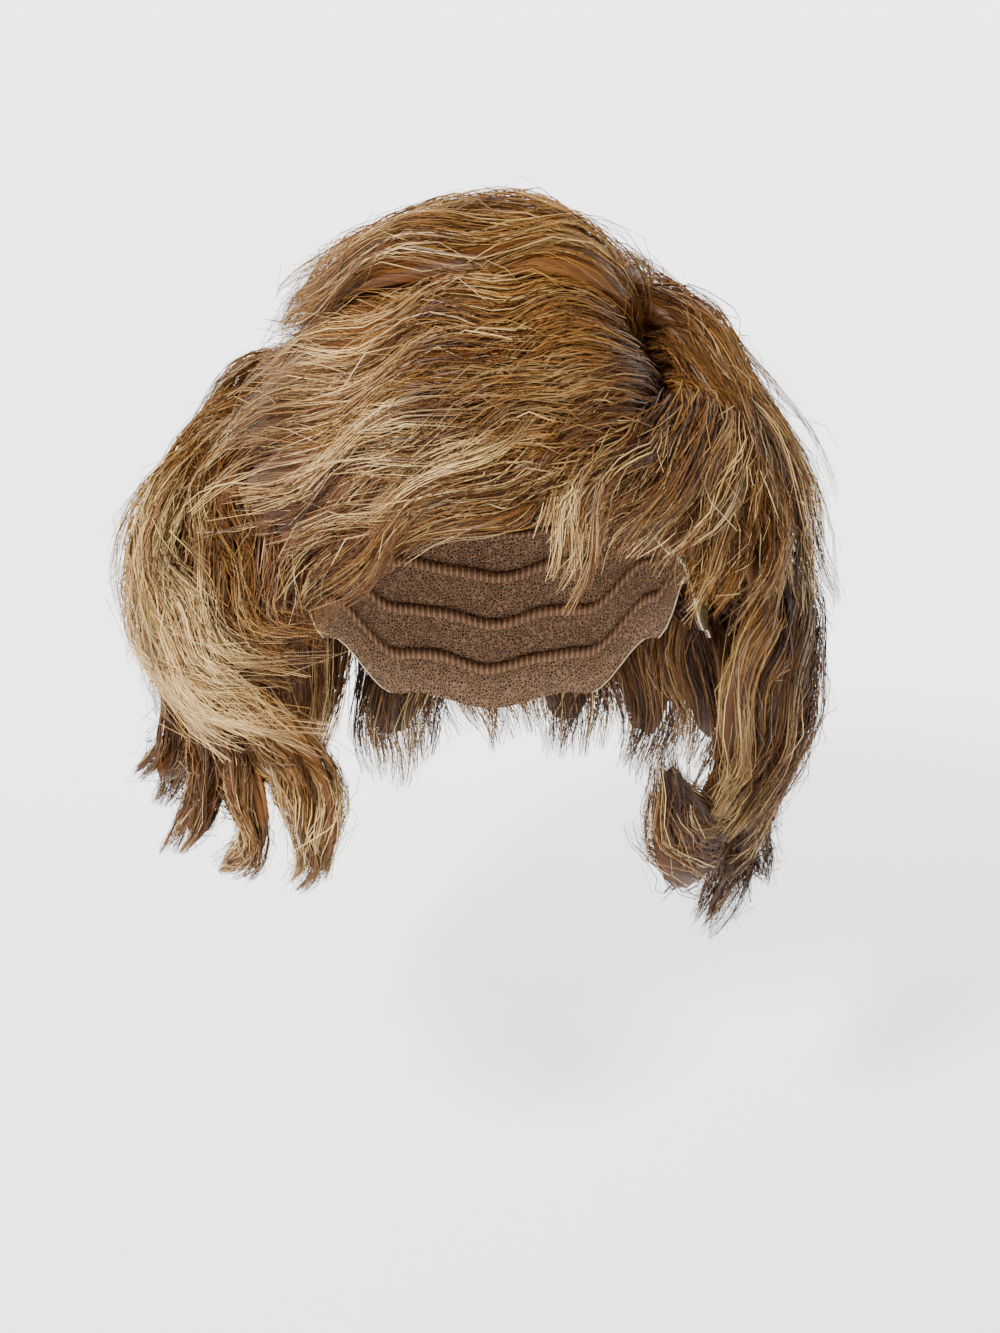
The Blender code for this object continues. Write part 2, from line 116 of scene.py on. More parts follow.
# %% The locks of each piece
Lock = namedtuple("Lock", "between width fair root rise crest fall tip")
LOCKS = {
    "crown_hair": (
        Lock(1, 1.7, 0.3, (110, 69), (121, 62, 0.85), (127, 51, 1.04), (124, 39, 1.14), (116, 27, 1.10)),
        Lock(1, 1.7, 0.3, (135, 75), (160, 67, 0.88), (170, 55, 1.08), (176, 41, 1.18), (172, 27, 1.10)),
        Lock(0, 1.7, 0.3, (165, 77), (-170, 71, 0.88), (-152, 60, 1.06), (-148, 45, 1.16), (-152, 31, 1.08)),
        Lock(0, 1.6, 0.3, (150, 79), (-178, 79, 0.88), (-126, 67, 0.96), (-120, 52, 0.98), (-122, 38, 0.94)),
        Lock(0, 1.5, 0.3, (118, 77), (150, 86, 0.90), (-102, 75, 0.90), (-104, 58, 0.84), (-108, 43, 0.82)),
        Lock(1, 1.5, 0.3, (97, 70), (76, 80, 0.96), (-86, 86, 0.90), (-94, 66, 0.76), (-98, 48, 0.72)),
        Lock(0, 1.4, 0.4, (82, 59), (56, 69, 0.94), (-16, 74, 0.96), (-66, 60, 0.92), (-82, 45, 0.74)),
        Lock(0, 1.8, 0.3, (84, 60), (10, 68, 0.60), (-52, 64, 0.62), (-86, 50, 0.66), (-100, 34, 0.80)),
    ),
    "sweep_hair": (
        Lock(1, 1.5, 0.5, (76, 53), (32, 62, 0.71), (-10, 60, 0.73), (-46, 48, 0.80), (-78, 30, 1.00)),
        Lock(1, 1.4, 0.5, (74, 50), (32, 54, 0.69), (-4, 48, 0.73), (-34, 36, 0.84), (-60, 18, 1.14)),
        Lock(0, 1.3, 0.4, (72, 47), (30, 49, 0.64), (-2, 41, 0.69), (-27, 29, 0.78), (-48, 14, 0.98)),
    ),
    "fringe_hair": (
        Lock(0, 0.8, 0.1, (-8, 42), (-22, 31, 0.62), (-31, 22, 0.68), (-36, 14, 0.60), (-35, 5, 0.46)),
        Lock(0, 1.1, 0.5, (70, 44), (30, 46, 0.61), (0, 37, 0.67), (-22, 25, 0.68), (-37, 9, 0.48)),
        Lock(0, 1.0, 0.6, (68, 42), (28, 43, 0.60), (4, 36, 0.64), (-14, 28, 0.62), (-38, 19, 0.50)),
        Lock(1, 0.8, 0.5, (66, 41), (28, 42, 0.58), (9, 38, 0.62), (-6, 31, 0.57), (-24, 24, 0.45)),
        Lock(0, 0.7, 0.4, (66, 39), (36, 41, 0.60), (22, 39, 0.62), (13, 36, 0.55), (6, 32, 0.43)),
        Lock(0, 0.8, 0.5, (67, 38), (42, 38, 0.63), (28, 34, 0.66), (18, 26, 0.56), (13, 14, 0.38)),
        Lock(0, 1.0, 0.4, (69, 38), (50, 37, 0.71), (36, 33, 0.70), (28, 26, 0.60), (21, 20, 0.44)),
        Lock(1, 1.3, 0.3, (72, 39), (59, 36, 0.79), (45, 30, 0.77), (37, 22, 0.67), (29, 16, 0.50)),
        Lock(0, 1.4, 0.2, (75, 39), (67, 34, 0.82), (58, 24, 0.81), (50, 15, 0.72), (41, 9, 0.54)),
    ),
    "left_side_hair": (
        Lock(0, 1.7, 0.2, (122, 55), (114, 50, 0.90), (107, 37, 1.02), (99, 21, 1.12), (90, 5, 1.14)),
        Lock(1, 1.5, 0.3, (102, 57), (93, 54, 0.84), (88, 41, 0.98), (80, 22, 1.10), (68, 3, 1.28)),
        Lock(1, 1.3, 0.4, (88, 51), (80, 46, 0.80), (73, 33, 0.92), (65, 17, 1.06), (54, 3, 1.06)),
        Lock(0, 1.1, 0.3, (83, 45), (72, 39, 0.80), (62, 26, 0.88), (54, 14, 0.90), (43, 7, 0.76)),
    ),
    "left_lower_hair": (
        Lock(1, 1.2, 0.2, (106, 15), (92, 3, 1.00), (78, -5, 1.12), (66, -11, 1.00), (52, -15, 0.80)),
        Lock(0, 1.0, 0.7, (88, 16), (62, 5, 0.86), (54, -3, 0.82), (54, -11, 0.76), (39, -18, 0.56)),
        Lock(0, 1.2, 0.1, (74, 4), (66, -12, 0.66), (51, -17, 0.66), (39, -13, 0.60), (33, -4, 0.44)),
        Lock(0, 0.9, 0.1, (72, 1), (63, -12, 0.60), (51, -16, 0.60), (40, -11, 0.56), (35, -3, 0.42)),
        Lock(0, 1.3, 0.2, (113, 12), (98, -2, 0.96), (83, -11, 0.98), (68, -17, 0.86), (53, -20, 0.64)),
        Lock(0, 1.2, 0.3, (118, 8), (104, -6, 0.94), (88, -15, 0.90), (72, -20, 0.76), (56, -23, 0.56)),
        Lock(0, 1.2, 0.1, (126, 2), (110, -12, 0.86), (92, -21, 0.78), (73, -26, 0.66), (52, -28, 0.48)),
        Lock(0, 0.9, 0.1, (124, 6), (108, -10, 0.92), (90, -19, 0.88), (74, -23, 0.82), (61, -22, 0.94)),
    ),
    "right_side_hair": (
        Lock(1, 1.4, 0.6, (-116, 45), (-110, 37, 0.95), (-104, 24, 1.14), (-98, 8, 1.24), (-88, -5, 1.12)),
        Lock(1, 1.4, 0.9, (-94, 40), (-92, 27, 0.98), (-80, 12, 1.32), (-58, 2, 1.36), (-31, -4, 1.06)),
        Lock(1, 1.3, 0.8, (-82, 37), (-76, 25, 1.02), (-60, 13, 1.36), (-42, 3, 1.34), (-15, 0, 0.98)),
        Lock(0, 1.2, 0.0, (-66, 34), (-57, 25, 0.78), (-47, 16, 0.84), (-40, 9, 0.82), (-30, 6, 0.70)),
    ),
    "right_lower_hair": (
        Lock(0, 1.3, 0.3, (-114, 12), (-100, 0, 0.98), (-86, -7, 1.05), (-75, -12, 1.15), (-78, -17, 1.40)),
        Lock(0, 1.1, 0.4, (-108, 12), (-92, 1, 1.00), (-76, -6, 1.08), (-65, -9, 1.22), (-68, -12, 1.62)),
        Lock(0, 1.0, 0.4, (-100, 12), (-79, -3, 0.98), (-60, -8, 1.04), (-53, -12, 1.20), (-57, -16, 1.48)),
        Lock(0, 1.0, 0.4, (-88, 11), (-62, -4, 0.92), (-47, -9, 0.98), (-42, -13, 1.08), (-45, -17, 1.26)),
        Lock(0, 0.9, 0.8, (-74, 7), (-44, -3, 0.82), (-34, -7, 0.82), (-32, -13, 0.78), (-37, -19, 0.70)),
    ),
    "back_hair": (
        Lock(1, 2.2, 0.3, (126, 42), (123, 31, 1.00), (122, 18, 1.10), (119, 6, 1.14), (121, -6, 1.02)),
        Lock(1, 2.2, 0.4, (180, 46), (182, 34, 1.02), (179, 20, 1.16), (182, 8, 1.16), (179, -5, 1.02)),
        Lock(0, 2.0, 0.4, (-126, 42), (-123, 32, 1.00), (-123, 18, 1.14), (-119, 6, 1.18), (-121, -6, 1.05)),
    ),
    "nape_hair": (
        Lock(2, 1.7, 0.2, (128, 14), (124, 2, 0.92), (126, -8, 0.96), (121, -16, 0.88), (126, -25, 0.96)),
        Lock(2, 1.7, 0.3, (178, 16), (182, 2, 0.92), (176, -8, 0.96), (181, -17, 0.82), (178, -27, 0.92)),
        Lock(0, 1.7, 0.3, (-124, 14), (-119, 2, 0.96), (-112, -8, 1.04), (-106, -16, 1.0), (-100, -22, 1.1)),
    ),
}

# %% [markdown]
# A smooth curve that passes through its points is a Catmull-Rom curve: at each span it leans on the point
# before and the point after. Blending two rows gives the locks that stand between them.
# A lock is narrow at its root, opens to its full width and depth, and is thin at its tip.

# %% From a table to the course of every lock
STATIONS = 56
LEAST_ACROSS = 0.35
ROOT_WIDTH, ROOT_DEPTH, FULL_AT = 0.66, 0.34, 0.45
TIP_SHARE, TIP_SHARPNESS = 0.14, 3
SEWN_ABOVE_RIM = 3
WAVE_LENGTHS = (0.046, 0.052, 0.058)
PHASE_STEP = 0.13


def knots(lock):
    """The five places of a lock, each as a direction and a height."""
    places = [(*lock.root, ROOT_LIFT / HAIR_DEPTH), lock.rise, lock.crest, lock.fall, lock.tip]
    return np.array([[*toward(longitude, latitude), height] for longitude, latitude, height in places])


def along(places, share):
    """The curve through the places, at shares of its length."""
    ends = [2 * places[0] - places[1]], [2 * places[-1] - places[-2]]
    padded = np.concatenate([ends[0], places, ends[1]])
    spans = len(places) - 1
    span = np.clip((share * spans).astype(int), 0, spans - 1)
    rest = (share * spans - span)[..., None]
    before, near, far, after = (padded[span + step] for step in range(4))
    bend = 2 * before - 5 * near + 4 * far - after
    twist = 3 * near - before - 3 * far + after
    return 0.5 * (2 * near + (far - before) * rest + bend * rest**2 + twist * rest**3)


def all_locks(table):
    """(width, fair, places) of each lock of a table, with the blends between its rows."""
    found = []
    for row, lock in enumerate(table):
        found.append((lock.width, lock.fair, knots(lock)))
        for extra in range(lock.between):
            share = (extra + 1) / (lock.between + 1)
            after = table[row + 1]
            width = lock.width + (after.width - lock.width) * share
            fair = lock.fair + (after.fair - lock.fair) * share
            found.append((width, fair, knots(lock) * (1 - share) + knots(after) * share))
    return found


def opened(share, root):
    """How far a lock has opened at a share of its length: root where it starts, 1 from FULL_AT on."""
    return root + (1 - root) * np.sin(np.pi / 2 * np.minimum(share / FULL_AT, 1))


def carried(forward, normal):
    """The direction across a lock at each station. Where it runs straight outward, it keeps the last one."""
    across = np.empty_like(forward)
    kept = None
    for station, (ahead, up) in enumerate(zip(forward, normal)):
        turned = np.cross(ahead, up)
        if kept is None or np.linalg.norm(turned) > LEAST_ACROSS:
            kept = unit(turned)
        kept = unit(kept - kept @ ahead * ahead)
        across[station] = kept
    return across


class Course:
    """The way a lock takes: at each station its middle, its across and out directions, and its size."""

    def __init__(self, width, fair, places, wave, phase):
        self.share = np.linspace(0, 1, STATIONS)
        self.width, self.fair = width, fair
        self.wave, self.phase = wave, phase
        spots = along(places, self.share)
        outer = spots[:, 3] * HAIR_DEPTH
        thinning = 1 - (1 - TIP_SHARE) * self.share**TIP_SHARPNESS
        swell = width * (opened(self.share, ROOT_DEPTH) * thinning)
        self.depth = np.minimum(LOCK_DEPTH * swell, outer - LOCK_FLOOR)
        self.middle, normal = over_head(spots[:, :3], outer - self.depth / 2)
        self.on_cap = over_head(spots[:, :3], np.full(STATIONS, CAP_TOP))[0]
        forward = unit(np.gradient(self.middle, axis=0))
        self.across = carried(forward, normal)
        self.out = np.cross(self.across, forward)
        self.half_width = LOCK_WIDTH * width / 2 * opened(self.share, ROOT_WIDTH)
        self.length = np.linalg.norm(np.diff(self.middle, axis=0), axis=1).sum()
        self.last_root = self.sewn_up_to(unit(spots[:, :3]))

    def sewn_up_to(self, way):
        """The share of its length up to which the lock lies on the cap, so that strands can start there."""
        latitude = np.degrees(np.arcsin(way[:, 2]))
        longitude = np.degrees(np.arctan2(way[:, 0], -way[:, 1]))
        on_cap = np.flatnonzero(latitude > rim_latitude(longitude) + SEWN_ABOVE_RIM)
        return self.share[on_cap.max()] if len(on_cap) else 0.0

    def at(self, share, values):
        """A value of every station, read at other shares."""
        if values.ndim == 1:
            return np.interp(share, self.share, values)
        return np.stack([np.interp(share, self.share, values[:, axis]) for axis in range(3)], -1)


COURSES = {}
for name, table in LOCKS.items():
    COURSES[name] = [
        Course(*lock, WAVE_LENGTHS[row % len(WAVE_LENGTHS)], PHASE_STEP * row)
        for row, lock in enumerate(all_locks(table))
    ]
print("locks:", sum(len(courses) for courses in COURSES.values()))

# %% [markdown]
# ## Strands
# Real fibres can't be counted: a short wig holds some fifty thousand. A render can hold nearly that many, if
# each is a flat ribbon about one pixel wide. Hair never hangs evenly: fibres cling together in clumps that
# share a wave and end in one point, and a few stray out of them. So each lock gets clumps, each clump gets
# its strands, and every strand is sewn to the cap, rises out of it, and then keeps to its layer.
# Some draws are made for each strand, and some for each clump and given to all its strands. The steps of
# Strands run in a fixed order, because each draw moves the generator on.

# %% How a clump and its strands are laid, in metres and in shares of the lock
SPACING = 0.0085  # between the stations of a strand
FEWEST, MOST = 7, 15  # stations of a strand
LEAST_STRANDS, LEAST_CLUMPS = 40, 4
RIBBON = 0.00033  # the usual width of a strand
EDGE, SCATTER, REACH = 0.95, 0.21, 1.25  # outermost clump, strands round their clump, outermost strand
LAYER_SCATTER, LAYER_DEPTH = 0.10, 0.55
UNDERSIDE, UNDER_LAYERS = 0.0006, 0.0025  # how far the hidden strands lie inside the lock's lower face
ROUNDED, NARROWEST = 0.85, 0.004  # how round the top of a lock is, and the least half width it uses
LEAST_LENGTH = 0.25
DRIFT = 0.0019  # a slow swing of each strand
SPLAY, CLUMP_LIFT, TIP_LIFT = 0.0045, 0.0015, 0.0024  # how far whole clumps part, sideways and upward
SWAY, HEAVE = 0.0024, 0.0013  # the wave of the lock, sideways and upward
STRAYS, STRAY_LEAST, STRAY_MOST = 0.17, 0.8, 4.2  # how many strands leave their clump, and how far
LOOSE, STRAY_LOOSE, STRAY_LIFT = 0.00030, 0.0008, 0.0007  # the own sway of a strand
SIDE_WAVES, UP_WAVES = (0.055, 0.020), (0.050, 0.022)  # long and short lengths of that sway
EASE_IN = 2.5  # waves reach their full size at 1 / 2.5 of the length of a strand
ROOT_SCATTER, RISE = 0.0035, 0.016  # how far apart neighbours are sewn, and the length in which they rise
# CLUMP_TONE and STRAND_TONE vary the tone at random; SHADED is a painted shade that darkens a strand by how
# deep it lies in its lock.
CLUMP_TONE, STRAND_TONE, SHADED = 0.13, 0.21, 0.30


class Strands:
    """The strands of one lock: their points, the sides of their ribbons, their tone and how fair they are."""

    def __init__(self, course, budget, rng, piece):
        self.course, self.rng, self.piece = course, rng, piece
        self.stations = int(np.clip(round(course.length / SPACING), FEWEST, MOST))
        self.count = max(LEAST_STRANDS, int(budget / (2 * (self.stations - 1))))
        self.clumps = max(LEAST_CLUMPS, round(course.width * piece.clumps))
        self.mine = np.sort(rng.integers(0, self.clumps, self.count))
        self.place()
        self.cut()
        self.points, side = self.lead(*self.offsets())
        self.sides = side * self.half_ribbon()[..., None]
        self.tone, self.fair = self.dye()

    def each(self, low, high):
        """An even draw for each strand."""
        return self.rng.uniform(low, high, (self.count, 1))

    def bell(self, spread):
        """A bell-shaped draw for each strand."""
        return self.rng.normal(0, spread, (self.count, 1))

    def chance(self, share):
        """True for about this share of the strands."""
        return self.rng.random((self.count, 1)) < share

    def shared(self, values):
        """A value of each clump, given to its strands."""
        return values[self.mine][:, None]

    def clump_bell(self, spread, middle=0.0):
        """A bell-shaped draw for each clump, given to its strands."""
        return self.shared(self.rng.normal(middle, spread, self.clumps))

    def waves(self, long, short):
        """A slow random sway for each strand, in two lengths of wave."""
        total = np.zeros(self.share.shape)
        for wave_length, size in ((long, 1.0), (short, 0.4)):
            turns = self.course.length / wave_length * self.each(0.75, 1.3)
            total += size * np.sin(2 * np.pi * (turns * self.share + self.rng.random((self.count, 1))))
        return total

    def place(self):
        """The place of each strand: its clump's middle across the lock, and its layer from the top down."""
        spots = (self.rng.permutation(self.clumps) + 0.5) / self.clumps
        self.beside = self.shared((spots * 2 - 1) * EDGE)
        layer = self.rng.random(self.clumps) ** 1.5
        last = 1 - self.piece.ragged * self.rng.random(self.clumps) ** 1.2
        self.depth_in = np.clip(self.shared(layer) + self.bell(LAYER_SCATTER), 0, 1)
        self.last = self.shared(last)
        self.under = self.chance(self.piece.under)
        self.drift = self.bell(DRIFT) * self.piece.spread

    def cut(self):
        """Where each strand starts and ends along the lock. Those at its edges are shorter."""
        self.begin = np.clip(self.course.last_root * self.depth_in * self.each(0.2, 1.0), 0, 0.7)
        shorter = 0.13 * self.beside**2 + 0.9 * self.piece.ragged * self.each(0, 1) ** 1.6
        end = np.clip(self.last - shorter, self.begin + LEAST_LENGTH, 1.0)
        self.grown = np.linspace(0, 1, self.stations)[None, :] * np.ones((self.count, 1))
        self.share = self.begin + (end - self.begin) * self.grown

    def offsets(self):
        """How far each strand runs beside the middle of the lock and above it, at every station."""
        course, piece, grown, share = self.course, self.piece, self.grown, self.share
        stray = self.chance(STRAYS) * self.each(STRAY_LEAST, STRAY_MOST)
        wide = course.at(share, course.half_width) * (1 - piece.gather * share**2.5)
        deep = course.at(share, course.depth)
        easing = np.minimum(grown * EASE_IN, 1)
        loose = LOOSE + STRAY_LOOSE * stray
        cling = 0.10 + piece.pointed * grown**2.2
        own = self.beside + self.bell(SCATTER)
        sideways = ((own * (1 - cling) + self.beside * cling) * wide).clip(-REACH * wide, REACH * wide)
        turns = course.length / course.wave * share + course.phase
        swing = 2 * np.pi * turns + own * 0.9 + self.clump_bell(0.5)
        splay = piece.spread * self.clump_bell(SPLAY) * grown**2
        sideways += (SWAY * piece.wavy * np.sin(swing) + splay) * easing
        sideways += self.drift * np.sin(grown * 4.2 + self.each(0, 6.3)) * easing
        sideways += loose * easing * self.waves(*SIDE_WAVES)
        off_middle = ROUNDED * sideways / np.maximum(wide, NARROWEST)
        crown = deep / 2 * np.sqrt(np.clip(1 - off_middle**2, 0, 1))
        layered = crown - self.depth_in * deep * LAYER_DEPTH
        hidden = -crown + UNDERSIDE + UNDER_LAYERS * self.depth_in
        height = np.where(self.under, hidden, layered)
        height += HEAVE * piece.wavy * np.cos(swing * 0.9 + 1.0) * easing
        height += self.clump_bell(CLUMP_LIFT, 0.0004) * easing
        height += piece.spread * self.clump_bell(TIP_LIFT) * grown**3
        height += (loose * 0.9 + STRAY_LIFT * stray * grown**2) * easing * self.waves(*UP_WAVES)
        return sideways, height

    def lead(self, sideways, height):
        """(points, ribbon directions) of strands that rise from the cap and then keep to their places."""
        course, share = self.course, self.share
        across, out = course.at(share, course.across), course.at(share, course.out)
        body = course.at(share, course.middle) + across * sideways[..., None] + out * height[..., None]
        shift = np.cross(out, across) * self.rng.normal(0, ROOT_SCATTER, (self.count, 1, 1))
        root = course.at(share, course.on_cap) + across * sideways[..., None] + shift
        rising = np.clip((share - self.begin) * course.length / RISE + 0.04, 0, 1)
        rising = (rising * (2 - rising))[..., None]
        points = root + (body - root) * rising
        forward = unit(np.gradient(points, axis=1))
        side = unit(np.cross(forward, out))
        roll = self.rng.normal(0, 0.7, (self.count, 1, 1))
        return points, unit(side * np.cos(roll) + np.cross(side, forward) * np.sin(roll))

    def half_ribbon(self):
        """Half the width of each ribbon. It narrows from the middle of the strand to its tip."""
        full = self.piece.ribbon * RIBBON / 2 * self.each(0.7, 1.25)
        return full * (1 - 0.60 * np.clip(self.grown * 2 - 1, 0, 1) ** 1.5)

    def dye(self):
        """(tone, fair) of each strand. Deep strands are darker, a painted shade, and fair ones come in
        clumps.
        """
        fair = self.course.fair
        tone = 0.5 + self.clump_bell(CLUMP_TONE) + self.bell(STRAND_TONE)
        # Strands that lie deeper in the lock are darkened here: a painted shade.
        tone = tone - SHADED * self.depth_in + self.piece.tint
        streaked = self.shared(self.rng.random(self.clumps) < fair) * 0.5 + 0.15
        return np.clip(tone, 0, 1), self.chance(streaked * (0.4 + fair)) * self.each(0.35, 1.0)


print("a strand has", FEWEST, "to", MOST, "stations")

# %% [markdown]
# Between the strands one would see the cap, so each lock also has a closed core, a little thinner than the
# lock and in the same colours, but darker and seldom fair: a painted shade. It does the work of the thousands
# of fibres that aren't drawn.

# %% The core of a lock
CORE_STATIONS, CORE_SIDES = 16, 8
CORE_START, CORE_TAPER = 0.02, 0.32  # where it starts, and the length over which its end narrows
CORE_WIDTH, CORE_NARROWING = 0.84, 0.75
CORE_SKIN, CORE_THINNEST, CORE_SUNK = 0.0030, 0.0008, 0.0003  # the depth of strands over it, in metres


def core_of(course, last):
    """(points of the rings, shares) of a closed tube that fills the inside of a lock."""
    share = np.linspace(CORE_START, last, CORE_STATIONS)
    turns = 2 * np.pi * np.arange(CORE_SIDES) / CORE_SIDES
    middle, across, out = (course.at(share, part) for part in (course.middle, course.across, course.out))
    narrow = 1 - CORE_NARROWING * np.clip((share - last + CORE_TAPER) / CORE_TAPER, 0, 1) ** 1.5
    wide = course.at(share, course.half_width) * CORE_WIDTH * narrow
    deep = np.maximum(course.at(share, course.depth) / 2 - CORE_SKIN, CORE_THINNEST) * narrow
    sunk = middle - out * CORE_SUNK
    rings = sunk[:, None] + across[:, None] * (wide[:, None] * np.cos(turns))[..., None]
    return rings + out[:, None] * (deep[:, None] * np.sin(turns))[..., None], share


# %% [markdown]
# ## Shading as sums and products
# Each finish below is written as an expression. A small class stands for whatever comes out of a node, and
# Python's own operators add the Math nodes, so 1 - mask reads as it would on paper.


# %% One class for a socket, one for a finish
class Wire:
    """What comes out of a node: a number, unless it is named a colour or a vector."""

    def __init__(self, finish, outlet):
        self.finish, self.outlet = finish, outlet

    def _math(self, operation, first, second):
        return self.finish.add("ShaderNodeMath", {"operation": operation}, {0: first, 1: second})

    def __add__(self, other):
        return self._math("ADD", self, other)

    def __sub__(self, other):
        return self._math("SUBTRACT", self, other)

    def __rsub__(self, other):
        return self._math("SUBTRACT", other, self)

    def __mul__(self, other):
        return self._math("MULTIPLY", self, other)

    def __pow__(self, other):
        return self._math("POWER", self, other)

    __radd__, __rmul__ = __add__, __mul__

    def limited(self, low, high):
        """This number, stretched so that low becomes 0 and high becomes 1, and kept between them."""
        return self.finish.add("ShaderNodeMapRange", {"clamp": True}, {0: self, 1: low, 2: high})

    def sine(self):
        return self._math("SINE", self, 0)


class Finish:
    """A material with one surface shader, whose sockets take constants or wires."""

    def __init__(self, name, **constants):
        self.material = bpy.data.materials.new(name)
        self.material.use_nodes = True
        self.nodes, self.links = self.material.node_tree.nodes, self.material.node_tree.links
        self.shader = self.nodes["Principled BSDF"]
        for socket, value in constants.items():
            self.shader.inputs[socket.replace("_", " ")].default_value = value

    def add(self, kind, settings=None, sockets=None, outlet=0):
        """Any node: its settings first, then the values or wires of its sockets."""
        made = self.nodes.new(kind)
        for name, value in (settings or {}).items():
            if name == "stops":
                while len(made.color_ramp.elements) < len(value):
                    made.color_ramp.elements.new(1)
                for element, (place, colour) in zip(made.color_ramp.elements, value):
                    element.position, element.color = place, (*colour, 1)
            else:
                setattr(made, name, value)
        for name, value in (sockets or {}).items():
            self.put(value, made.inputs[name])
        return Wire(self, made.outputs[outlet])

    def put(self, value, inlet):
        if isinstance(value, Wire):
            self.links.new(value.outlet, inlet)
        else:
            inlet.default_value = value

    def feed(self, socket, value):
        """Joins a wire to a socket of the surface shader."""
        self.put(value, self.shader.inputs[socket])

    def noise(self, where, scale, detail=2.0):
        """A cloudy number from 0 to 1."""
        return self.add("ShaderNodeTexNoise", None, {"Vector": where, "Scale": scale, "Detail": detail})

    def mixed(self, share, first, second):
        """Two colours, blended by a share."""
        return self.add("ShaderNodeMix", {"data_type": "RGBA"}, {0: share, 6: first, 7: second}, 2)

    def held(self, name):
        """A number that the mesh carries at every point."""
        return self.add("ShaderNodeAttribute", {"attribute_name": name}, None, "Fac")

    def spot(self):
        """Where a point is, in metres."""
        return self.add("ShaderNodeTexCoord", None, None, "Object")

    def vector(self, x, y, z=0.0):
        return self.add("ShaderNodeCombineXYZ", None, {0: x, 1: y, 2: z})

    def relief(self, strength, distance, height):
        """Makes the surface look raised where a number is high."""
        sockets = {"Strength": strength, "Distance": distance, "Height": height}
        self.feed("Normal", self.add("ShaderNodeBump", None, sockets))


def grey(value):
    """A colour without a hue."""
    return value, value, value, 1


# %% [markdown]
# ## The colour of the hair
# Fine synthetic fibre is dyed in a blend: a strawberry brown with pale blonde streaks, and no two fibres are
# quite alike. Near the roots the colour turns darker and redder. The mesh carries four numbers at every
# point:
# how far along the strand it is, the strand's own tone, with a painted shade that darkens it the deeper it
# lies in its lock, how fair it is, and a number of its own that the noise reads.
# The noise changes fast from strand to strand and slowly along each, so that it draws streaks.

# %% Hair finishes, with their tones from deep to pale
DARK = (0.018, 0.0056, 0.0014)
GINGER = (0.080, 0.0265, 0.0046)
MIDDLE = (0.172, 0.070, 0.0125)
LIGHT = (0.32, 0.162, 0.037)
DYES = [(0.0, DARK), (0.34, GINGER), (0.62, MIDDLE), (1.0, LIGHT)]
PALE = (0.72, 0.52, 0.21, 1)
BLUSH = (0.52, 0.29, 0.18, 1)
ROOT = (0.040, 0.0125, 0.0026, 1)


def hair_finish(name, warmth, depth):
    """Dyed fibre: warmth shifts it to the lighter tones, depth is how dark its roots are."""
    hair = Finish(name, Specular_IOR_Level=0.28)
    place, run = hair.held("streak"), hair.held("along")
    tone, fair = hair.held("tone"), hair.held("fair")
    fine = hair.noise(hair.vector(place * 900, run * 2.5), 1.0, 1.0)
    broad = hair.noise(hair.vector(place * 60, run * 1.5, 7.0), 1.0, 2.0)
    bands = hair.noise(hair.spot(), 17.0, 1.0)
    mottled = tone * 0.75 + fine * 0.34 + broad * 0.30 + bands * 0.55
    shade = (mottled - 0.48 + warmth).limited(0.10, 0.90)
    base = hair.add("ShaderNodeValToRGB", {"stops": DYES}, {0: shade})
    patches = hair.noise(hair.spot(), 26.0, 1.0).limited(0.40, 0.60)
    blonde = (fair * (0.50 + 0.7 * patches)).limited(0.20, 0.85) * run.limited(0.10, 0.70)
    colour = hair.mixed(blonde * 0.86, base, PALE)
    colour = hair.mixed((broad * blonde).limited(0.30, 0.62) * 0.35, colour, BLUSH)
    roots = (1 - run.limited(0.0, 0.30)) * depth
    hair.feed("Base Color", hair.mixed(roots, colour, ROOT))
    hair.feed("Roughness", 0.40 + 0.22 * fine)
    return hair.material


HAIR = {
    "hair_mid": hair_finish("strawberry_brown_hair", 0.03, 0.45),
    "hair_light": hair_finish("pale_blonde_hair", 0.08, 0.40),
    "hair_dark": hair_finish("red_brown_hair", -0.08, 0.60),
}
print("hair finishes:", ", ".join(finish.name for finish in HAIR.values()))

# %% [markdown]
# ## Making a piece of hair
# All the strands and cores of a piece go into one mesh, straight from arrays. Each strand gets its own narrow
# plot in the bake's map, in the order of the clumps, so that neighbours have nearly the same colours. The
# cores share a strip above the strands.


# %% From arrays to one mesh
def ring_faces(rows, columns):
    """Quads between the rows of a grid of points, where each row is a closed ring."""
    row, column = np.meshgrid(np.arange(rows - 1), np.arange(columns), indexing="ij")
    here = row * columns + column
    beside = row * columns + (column + 1) % columns
    return np.stack([here, beside, beside + columns, here + columns], -1).reshape(-1, 4)


def mesh_piece(name, points, faces, finish, numbers=None, places=None):
    """An object from points, quads, numbers at the points, and places of the points in the bake's map."""
    mesh = bpy.data.meshes.new(name)
    mesh.vertices.add(len(points))
    mesh.vertices.foreach_set("co", np.asarray(points, np.float32).ravel())
    mesh.loops.add(faces.size)
    mesh.loops.foreach_set("vertex_index", faces.astype(np.int32).ravel())
    mesh.polygons.add(len(faces))
    starts = np.arange(0, faces.size, faces.shape[1], dtype=np.int32)
    mesh.polygons.foreach_set("loop_start", starts)
    for attribute, values in (numbers or {}).items():
        layer = mesh.attributes.new(attribute, "FLOAT", "POINT")
        layer.data.foreach_set("value", values.astype(np.float32))
    if places is not None:
        layout = mesh.uv_layers.new(name="OFBake")
        layout.uv.foreach_set("vector", places[faces.ravel()].astype(np.float32).ravel())
    mesh.update(calc_edges=True)
    mesh.validate()
    mesh.shade_smooth()
    made = bpy.data.objects.new(name, mesh)
    bpy.context.scene.collection.objects.link(made)
    mesh.materials.append(finish)
    return made


